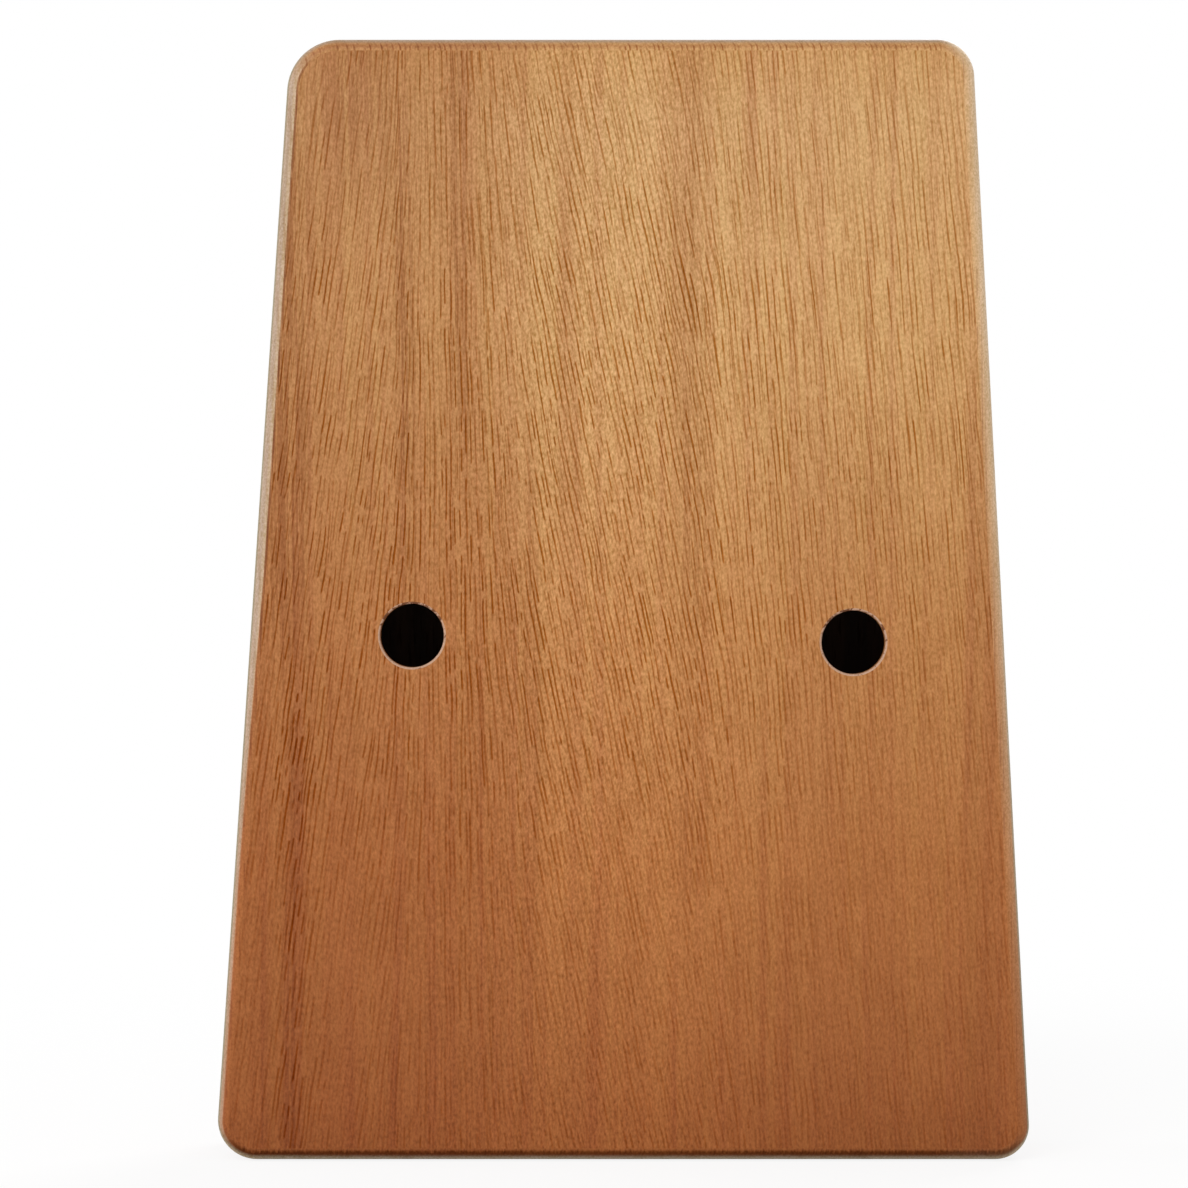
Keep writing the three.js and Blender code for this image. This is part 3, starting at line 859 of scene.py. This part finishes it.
# How the frame's walls meet the two boards: each edge is broken by a hair
WALL_ROWS = [
    (SEAM, BACK_INSIDE),
    (0, BACK_INSIDE + SEAM),
    (0, FRONT_INSIDE - SEAM),
    (SEAM, FRONT_INSIDE),
]


def is_inner(face, side):
    """True for a rail's face that looks into the box."""
    middle = face.calc_center_median() / MM
    near = abs(middle.x - inner_x(side, middle.z)) < 0.5
    return near and abs(face.normal.x) > 0.99 and len(face.verts) == 4


def side_rail(name, side, material):
    """A side of the frame, with the corners at both of its ends."""
    solid = Solid(name)
    rings = []
    for inset, y in WALL_ROWS:
        foot_right, foot_left, head_left, head_right = box_arcs(inset)
        high, low = BOX_HEIGHT - inset, inset
        if side > 0:
            outline = [*foot_left[1:], *head_left[:-1]]
            inner_zs = (high, low)
        else:
            outline = [*head_right[1:], *foot_right[:-1]]
            inner_zs = (low, high)
        outline += [Vector((inner_x(side, z), z)) for z in inner_zs]
        rings.append(solid.ring((p.x, y, p.y) for p in outline))
    solid.close(rings)
    solid.bm.normal_update()
    for face in solid.bm.faces:
        if is_inner(face, side):
            face.material_index = INSIDE_SLOT
    piece = solid.piece([material, INSIDE])
    finish_piece(piece, "box_wood", name)


side_rail("left_side", 1, WOOD_LEFT)
side_rail("right_side", -1, WOOD_RIGHT)


def end_block(name, inner_z, outer_z):
    """A block that closes the frame between the two sides."""
    outward = 1 if outer_z > inner_z else -1
    solid = Solid(name)
    rings = []
    for inset, y in WALL_ROWS:
        far = outer_z - outward * inset
        outline = [(-1, far), (1, far), (1, inner_z), (-1, inner_z)]
        rings.append(solid.ring((inner_x(side, z, GLUE_LINE), y, z) for side, z in outline))
    solid.close(rings)
    for face in solid.bm.faces:
        if abs(face.calc_center_median().z / MM - inner_z) < 0.01:
            face.material_index = INSIDE_SLOT
    piece = solid.piece([WOOD_END, INSIDE])
    finish_piece(piece, "box_wood", name)


end_block("head_block", BOX_HEIGHT - HEAD_WALL, BOX_HEIGHT)
end_block("tail_block", TAIL_WALL, 0)

screw_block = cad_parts["screw_block"]
screw_block.data.materials.clear()
screw_block.data.materials.append(BLOCK_WOOD)

# The bridge, its rods and its bar

GROOVE_RADIUS = 1.55
GROOVE_STEPS = 14
RIDGE_SOFTNESS = 0.6
RIDGE_STEPS = 5
ROD_EDGE = 0.4
BAR_EDGE = 0.45
ROD_EDGE_STEPS = 6


def softened(*points):
    """A path of [z, height] points with its inner corners rounded."""
    path = [Vector(points[0])]
    for before, here, after in zip(points, points[1:], points[2:]):
        here = Vector(here)
        back, ahead = Vector(before) - here, Vector(after) - here
        reach = min(RIDGE_SOFTNESS, back.length / 2.2, ahead.length / 2.2)
        start, end = here + back.normalized() * reach, here + ahead.normalized() * reach
        for i in range(RIDGE_STEPS + 1):
            t = i / RIDGE_STEPS
            path.append(start * (1 - t) ** 2 + here * 2 * t * (1 - t) + end * t**2)
    return [*path, Vector(points[-1])]


def groove(z, height):
    turns = [math.pi * i / GROOVE_STEPS for i in range(GROOVE_STEPS + 1)]
    return [
        (z - GROOVE_RADIUS * math.cos(t), height - GROOVE_RADIUS * math.sin(t)) for t in turns
    ]


# The bridge's profile, from its toe to its heel
BRIDGE_TOP = [
    *softened(
        (-BRIDGE_TOE, TOE_HEIGHT),
        (-RIDGE_HALF, FRONT_ROD_HEIGHT),
        (-GROOVE_RADIUS, FRONT_ROD_HEIGHT),
    ),
    *groove(0, FRONT_ROD_HEIGHT),
    *softened(
        (GROOVE_RADIUS, FRONT_ROD_HEIGHT),
        (RIDGE_HALF, FRONT_ROD_HEIGHT),
        (CHANNEL_START, CHANNEL_HEIGHT),
        (CHANNEL_END, CHANNEL_HEIGHT),
        (SADDLE_SPAN - RIDGE_HALF, REAR_ROD_HEIGHT),
        (SADDLE_SPAN - GROOVE_RADIUS, REAR_ROD_HEIGHT),
    ),
    *groove(SADDLE_SPAN, REAR_ROD_HEIGHT),
    *softened(
        (SADDLE_SPAN + GROOVE_RADIUS, REAR_ROD_HEIGHT),
        (SADDLE_SPAN + RIDGE_HALF, REAR_ROD_HEIGHT),
        (BRIDGE_HEEL_Z, HEEL_HEIGHT),
    ),
]

# How far from the bridge's outline its surface has points: over the rounded upper edge, and further
# over the rounded corners at its ends
BRIDGE_EDGE = 0.55
EDGE_STATIONS = [0, 0.02, 0.08, 0.17, 0.3, BRIDGE_EDGE]
END_STATIONS = [*EDGE_STATIONS, 0.85, 1.3, 1.9, 2.5, BRIDGE_CORNER]
BRIDGE_SPANS = 20

# Heights that drills reach to
UNDER_BRIDGE, OVER_BRIDGE = -1, 9
UNDER_BAR, OVER_BAR = 8, 16


def bridge_height(z):
    for a, b in zip(BRIDGE_TOP, BRIDGE_TOP[1:]):
        if a[0] <= z <= b[0] and b[0] > a[0]:
            return a[1] + (b[1] - a[1]) * (z - a[0]) / (b[0] - a[0])
    return BRIDGE_TOP[-1][1]


def edge_drop(pull, to_end, z, low, high):
    """How far the rounded upper edge lies under the bridge's profile. The column reaches from low
    to high, and lies that pull past the centres of the corners."""
    away = min(to_end, z - low, high - z)
    if pull > 0:
        for centre in (-BRIDGE_TOE + BRIDGE_CORNER, BRIDGE_HEEL_Z - BRIDGE_CORNER):
            outer = (z < centre) if centre < BAR_SETBACK else (z > centre)
            if outer:
                away = min(away, BRIDGE_CORNER - math.hypot(pull, z - centre))
    away = min(max(away, 0.0), BRIDGE_EDGE)
    return BRIDGE_EDGE - math.sqrt(BRIDGE_EDGE**2 - (BRIDGE_EDGE - away) ** 2)


def bridge_column(x):
    """The points of the bridge's surface at an X, from its toe to its heel."""
    to_end = BRIDGE_HALF - abs(x)
    pull = max(0.0, BRIDGE_CORNER - to_end)
    trim = BRIDGE_CORNER - math.sqrt(max(0.0, BRIDGE_CORNER**2 - pull**2))
    low, high = -BRIDGE_TOE + trim, BRIDGE_HEEL_Z - trim
    zs = [low + d for d in EDGE_STATIONS]
    zs += [min(max(p[0], low + BRIDGE_EDGE), high - BRIDGE_EDGE) for p in BRIDGE_TOP]
    zs += [high - d for d in reversed(EDGE_STATIONS)]
    return [on_bridge(x, bridge_height(z) - edge_drop(pull, to_end, z, low, high), z) for z in zs]


def upright(x):
    """Places a turned solid about a screw's axis, by its height over the front board."""
    return lambda along, a, b: on_bridge(x + a, along, BAR_SETBACK + b)


def drill(x, low, high, radius=SCREW_HOLE_RADIUS, steps=32):
    """A cutter about a screw's axis, between two heights over the front board."""
    return lathe("drill", [(radius, low), (radius, high)], upright(x), steps).piece([])


def bridge():
    """The bridge as a height over its plan, with its upper edges rounded."""
    solid = Solid("bridge_base")
    straight = BRIDGE_HALF - BRIDGE_CORNER
    xs = [-BRIDGE_HALF + d for d in END_STATIONS]
    xs += [-straight + 2 * straight * i / BRIDGE_SPANS for i in range(1, BRIDGE_SPANS)]
    xs += [BRIDGE_HALF - d for d in reversed(END_STATIONS)]
    columns = [solid.ring(bridge_column(x)) for x in xs]
    for a, b in zip(columns, columns[1:]):
        solid.skin(a, b, closed=False)
    rim = [*columns[0], *[c[-1] for c in columns[1:-1]], *reversed(columns[-1])]
    rim += [c[0] for c in reversed(columns[1:-1])]
    foot = [solid.bm.verts.new((v.co.x, FRONT_FACE * MM, v.co.z)) for v in rim]
    solid.skin(rim, foot)
    solid.bm.faces.new(foot)
    piece = solid.piece([BRIDGE_WOOD], sharp=40)
    cut(piece, [drill(x, UNDER_BRIDGE, OVER_BRIDGE) for x in SCREW_XS], sharp=40)
    finish_piece(piece, "bridge_wood", "bridge_base")


def rounded_rod(name, radius, half, edge, height, z, material, steps=48):
    """A rod along X with rounded ends, at a height over the front board."""
    end = []
    for sin, cos in round_steps(ROD_EDGE_STEPS):
        end.append((radius - edge * (1 - sin), half - edge * (1 - cos)))
    profile = [(r, -along) for r, along in end] + [(r, along) for r, along in reversed(end)]
    rod = lathe(name, profile, lambda along, a, b: on_bridge(along, height + a, z + b), steps)
    return rod.piece([material])


bridge()
for name, height, z in (
    ("front_saddle_rod", FRONT_ROD_HEIGHT, 0),
    ("rear_saddle_rod", REAR_ROD_HEIGHT, SADDLE_SPAN),
):
    rod = rounded_rod(name, ROD_RADIUS, ROD_HALF, ROD_EDGE, height, z, SADDLE_STEEL)
    finish_piece(rod, "saddle_steel", name)

bar = rounded_rod(
    "pressure_bar", BAR_RADIUS, BAR_HALF, BAR_EDGE, BAR_HEIGHT, BAR_SETBACK, BAR_PLATING, steps=64
)
tools = []
for x in SCREW_XS:
    tools.append(drill(x, UNDER_BAR, OVER_BAR))
    tools.append(drill(x, SEAT_HEIGHT, OVER_BAR, SEAT_RADIUS, steps=48))
cut(bar, tools)
finish_piece(bar, "bar_plating", "pressure_bar")

# The screws

THREAD_PITCH = 1.1
THREAD_DEPTH = 0.32
THREAD_TOP = 3
THREAD_RUN_OUT = 1.5
THREAD_FLANK = 0.42
POINT_LENGTH = 2.2
POINT_TIP = 0.06
SHANK_ROWS = 230
SHANK_STEPS = 28
SHANK_GAP = 0.02
HEAD_BEVEL = 0.12
HEAD_STEPS = 12
HEAD_TOP_RADIUS = 0.05
RECESS_HALF_LENGTH = 1.35
RECESS_HALF_WIDTH = 0.35
RECESS_DEPTH = 1
SCREW_TURNS = (17, 62, 38, 81)


def thread_radius(along, part):
    """The shank's radius at a distance along it, negative below the head, and a part of a turn."""
    to_point = along + SCREW_LENGTH
    taper = min(1, POINT_TIP + to_point / POINT_LENGTH)
    bite = min(1, max(0, (-along - THREAD_TOP) / THREAD_RUN_OUT)) * min(1, to_point / POINT_LENGTH)
    phase = (along / THREAD_PITCH - part) % 1
    crest = max(0, 1 - abs(phase - 0.5) / THREAD_FLANK)
    return SCREW_RADIUS * taper - THREAD_DEPTH * bite * (1 - crest) * taper


def recess_arm(x, degrees):
    """The cutter for one arm of a screw's crossed recess, narrower at its bottom."""
    angle = math.radians(degrees)
    cutter = Solid("recess")
    rings = []
    for depth, share in ((-RECESS_DEPTH, 0.62), (0.4, 1.1)):
        long, wide = RECESS_HALF_LENGTH * share, RECESS_HALF_WIDTH * (0.75 + 0.3 * share)
        ring = []
        for a, b in ((-long, -wide), (long, -wide), (long, wide), (-long, wide)):
            along_x = a * math.cos(angle) - b * math.sin(angle)
            along_z = a * math.sin(angle) + b * math.cos(angle)
            height = SEAT_HEIGHT + SCREW_HEAD_HEIGHT + depth
            ring.append(on_bridge(x + along_x, height, BAR_SETBACK + along_z))
        rings.append(cutter.ring(ring))
    cutter.close(rings)
    return cutter.piece([])


def bar_screw(name, x, turn):
    """A pan-head screw with a cut thread, its recess turned by that many degrees."""
    rows = []
    for i in range(SHANK_ROWS + 1):
        along = -SCREW_LENGTH + (SCREW_LENGTH - SHANK_GAP) * i / SHANK_ROWS
        rows.append(([thread_radius(along, j / SHANK_STEPS) for j in range(SHANK_STEPS)], along))
    bevelled = SCREW_HEAD_RADIUS - HEAD_BEVEL
    head = [(SCREW_RADIUS, 0), (bevelled, 0), (SCREW_HEAD_RADIUS, HEAD_BEVEL)]
    dome = SCREW_HEAD_HEIGHT - SCREW_HEAD_RIM
    for sin, cos in round_steps(HEAD_STEPS)[:-1]:
        head.append((SCREW_HEAD_RADIUS * cos, SCREW_HEAD_RIM + dome * sin))
    head.append((HEAD_TOP_RADIUS, SCREW_HEAD_HEIGHT))
    rows += [([radius] * SHANK_STEPS, along) for radius, along in head]

    solid = Solid(name)
    place = upright(x)
    rings = []
    for radii, along in rows:
        around = zip(radii, circle(SHANK_STEPS))
        height = SEAT_HEIGHT + along
        rings.append(solid.ring(place(height, r * math.cos(t), r * math.sin(t)) for r, t in around))
    solid.close(rings)
    piece = solid.piece([SCREW_STEEL], sharp=50)
    cut(piece, [recess_arm(x, turn), recess_arm(x, turn + 90)], sharp=50)
    finish_piece(piece, "screw_steel", name)


for i, (x, turn) in enumerate(zip(SCREW_XS, SCREW_TURNS)):
    bar_screw(f"bar_screw_{i + 1}", x, turn)

# The tines

TINE_EDGE = 0.16
TAIL_BEVEL = 0.12
TIP_START = 0.004
TIP_LEAST_HALF = 0.02
TIP_STEPS = 14
BLADE_STEPS = 12
CLAMPED_START = -3
CLAMPED_STEPS = 34
BEND_REACH = (-1.8, -1.2, -0.6, 0, 0.6, 1.2, 1.8)
FRONT_CONTACT = FRONT_ROD_HEIGHT + ROD_RADIUS
BAR_CONTACT = BAR_HEIGHT - BAR_RADIUS - TINE_THICKNESS
REAR_CONTACT = REAR_ROD_HEIGHT + ROD_RADIUS


def free_length(place):
    """A tine's free length, by its place leftwards from the middle one."""
    step = 2 * place - 1 if place > 0 else -2 * place
    semitones = OCTAVE * (step // len(MAJOR_SCALE)) + MAJOR_SCALE[step % len(MAJOR_SCALE)]
    return LONGEST_FREE_LENGTH * 2 ** (-semitones / (2 * OCTAVE))


def tine_half_width(z, free):
    """Half of a tine's width at a distance behind the front saddle."""
    half, tip_half = TINE_WIDTH / 2, TIP_WIDTH / 2
    tip_centre, flare_top = -free + tip_half, -free + TIP_FLARE_LENGTH
    if z < tip_centre:
        return math.sqrt(max(0.0, tip_half**2 - (tip_centre - z) ** 2))
    share = min(1, (z - tip_centre) / (flare_top - tip_centre))
    return tip_half + (half - tip_half) * share * share * (3 - 2 * share)


def tine_under(z, free):
    """Height of a tine's underside, which lies on both saddle rods, with its top against the bar.
    It is the mean of a bent line's heights nearby, so that its bends are smooth."""

    def straight(at):
        if at < 0:
            return FRONT_CONTACT - TINE_SLOPE * at
        if at < BAR_SETBACK:
            return FRONT_CONTACT + (BAR_CONTACT - FRONT_CONTACT) * at / BAR_SETBACK
        behind = at - BAR_SETBACK
        return BAR_CONTACT + (REAR_CONTACT - BAR_CONTACT) * behind / (SADDLE_SPAN - BAR_SETBACK)

    near = [straight(z + d) for d in BEND_REACH]
    curl = max(0, (TIP_CURL_LENGTH - z - free) / TIP_CURL_LENGTH)
    return sum(near) / len(near) + TIP_CURL_RISE * curl * curl


def steps_from(start, length, count):
    """Evenly spaced values after a start, over a length."""
    return [start + length * i / count for i in range(1, count + 1)]


def tine_section(half, under, thick):
    """A tine's section as [x, height] points, with its four edges rounded."""
    soft = min(TINE_EDGE, half * 0.9)
    section = []
    for side, top, first in ((1, 0, -90), (1, 1, 0), (-1, 1, 90), (-1, 0, 180)):
        for degrees in (0, 30, 60, 90):
            angle = math.radians(first + degrees)
            across = side * (half - soft)
            height = under + (soft + top * (thick - 2 * soft))
            section.append((across + soft * math.cos(angle), height + soft * math.sin(angle)))
    return section


def tine(name, x, free):
    solid = Solid(name)
    tail = SADDLE_SPAN + TINE_TAIL
    tip_half = TIP_WIDTH / 2
    blade_start = -free + TIP_FLARE_LENGTH
    tip_cosines = [cos for _, cos in round_steps(TIP_STEPS)[1:]]
    stations = [
        -free + TIP_START,
        *[-free + tip_half * (1 - cos) for cos in tip_cosines],
        *steps_from(-free + tip_half, TIP_FLARE_LENGTH - tip_half, TIP_STEPS),
        *steps_from(blade_start, CLAMPED_START - blade_start, BLADE_STEPS),
        *steps_from(CLAMPED_START, tail - TAIL_BEVEL - CLAMPED_START, CLAMPED_STEPS),
        tail,
    ]
    rings = []
    for z in stations:
        bevel = TAIL_BEVEL if z == tail else 0
        half = max(TIP_LEAST_HALF, tine_half_width(z, free)) - bevel
        section = tine_section(half, tine_under(z, free) + bevel, TINE_THICKNESS - 2 * bevel)
        rings.append(solid.ring(on_bridge(x + a, b, z) for a, b in section))
    solid.close(rings)
    piece = solid.piece([SPRING_STEEL], sharp=50)
    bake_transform(piece)
    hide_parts(name)


for i in range(TINE_COUNT):
    place = (TINE_COUNT - 1) // 2 - i
    tine(f"tine_{i + 1:02d}", place * TINE_PITCH, free_length(place))

# Floor, light and camera

# The X and Z in the photograph's middle, the Y at which its width is measured, and how far from
# that the camera stands
PHOTO_CENTRE = (-4.79, 93.4)
PHOTO_PLANE = -12
PHOTO_DISTANCE = 700
PHOTO_WIDTH = 196.4
SENSOR = 36

WHITE = (1, 1, 1, 1)
AMBIENT = 0.5
FLOOR_COLOUR = (0.9, 0.9, 0.9, 1)
FLOOR_HALF = 9000
FLOOR_CORNERS = ((-1, -1), (1, -1), (1, 1), (-1, 1))
FLOOR_UNDER = 0.2

# How white the floor shows under the object, how far that holds, and where it is white, in metres
FLOOR_WHITE = 0.86
SHADOW_NEAR = 0.12
SHADOW_FAR = 0.42


def white_to_viewers(g, plain, kind, share):
    """Shows a share of a white shader of that kind to the camera, to reflections and to what is
    seen through glass, and the plain shader to the rest."""
    rays = g.node("LightPath").outputs
    seen = g.math("MAXIMUM", rays["Is Camera Ray"], rays["Is Glossy Ray"])
    seen = g.math("MAXIMUM", seen, rays["Is Transmission Ray"])
    scaled = g.times(seen, share)
    white = g.fill(g.node(kind), WHITE, 1)
    return g.fill(g.node("MixShader"), scaled, plain.outputs[0], white.outputs[0]).outputs[0]


world = bpy.data.worlds.new("studio")
bpy.context.scene.world = world
world.use_nodes = True
g = Graph(world.node_tree)
sky = g.fill(g.node("Background"), WHITE, AMBIENT)
output = g.node("OutputWorld")
g.put(output.inputs["Surface"], white_to_viewers(g, sky, "Background", 1))

floor_material = bpy.data.materials.new("floor")
floor_material.use_nodes = True
g = Graph(floor_material.node_tree)
plain = g.fill(g.node("BsdfDiffuse"), FLOOR_COLOUR)
coordinates = g.node("TexCoord")
away = g.fill(g.node("VectorMath", operation="LENGTH"), coordinates.outputs["Object"])
share = g.span(away.outputs["Value"], SHADOW_NEAR, SHADOW_FAR, FLOOR_WHITE, 1)
output = g.node("OutputMaterial")
g.put(output.inputs["Surface"], white_to_viewers(g, plain, "Emission", share))
floor = Solid("floor")
corners = [(a * FLOOR_HALF, b * FLOOR_HALF, -FLOOR_UNDER) for a, b in FLOOR_CORNERS]
floor.bm.faces.new(floor.ring(corners))
floor.piece([floor_material])


def lamp(name, at, target, size, power):
    """A soft rectangular lamp. Places and sizes are metres, and its power is watts."""
    data = bpy.data.lights.new(name, "AREA")
    data.shape = "RECTANGLE"
    data.size, data.size_y = size
    data.energy = power
    made = bpy.data.objects.new(name, data)
    made.location = at
    made.rotation_euler = (Vector(target) - Vector(at)).to_track_quat("-Z", "Y").to_euler()
    bpy.context.scene.collection.objects.link(made)


lamp("back_key", (-0.45, -1.1, 0.95), target=(0, 0, 0.12), size=(0.7, 0.7), power=9)
lamp("left_strip", (-1.0, 0.02, 0.15), target=(0, 0, 0.1), size=(0.5, 0.9), power=7)
lamp("front_key", (0.5, 1.1, 0.9), target=(0, 0, 0.12), size=(0.7, 0.7), power=9)

camera_data = bpy.data.cameras.new("camera")
camera_data.sensor_width = SENSOR
camera_data.lens = SENSOR * PHOTO_DISTANCE / PHOTO_WIDTH
camera_data.clip_start = 0.01
camera = bpy.data.objects.new("camera", camera_data)
camera.location = Vector((PHOTO_CENTRE[0], PHOTO_PLANE - PHOTO_DISTANCE, PHOTO_CENTRE[1])) * MM
camera.rotation_euler = (math.pi / 2, 0, 0)
bpy.context.scene.collection.objects.link(camera)
bpy.context.scene.camera = camera

bpy.context.scene.view_settings.view_transform = "Standard"
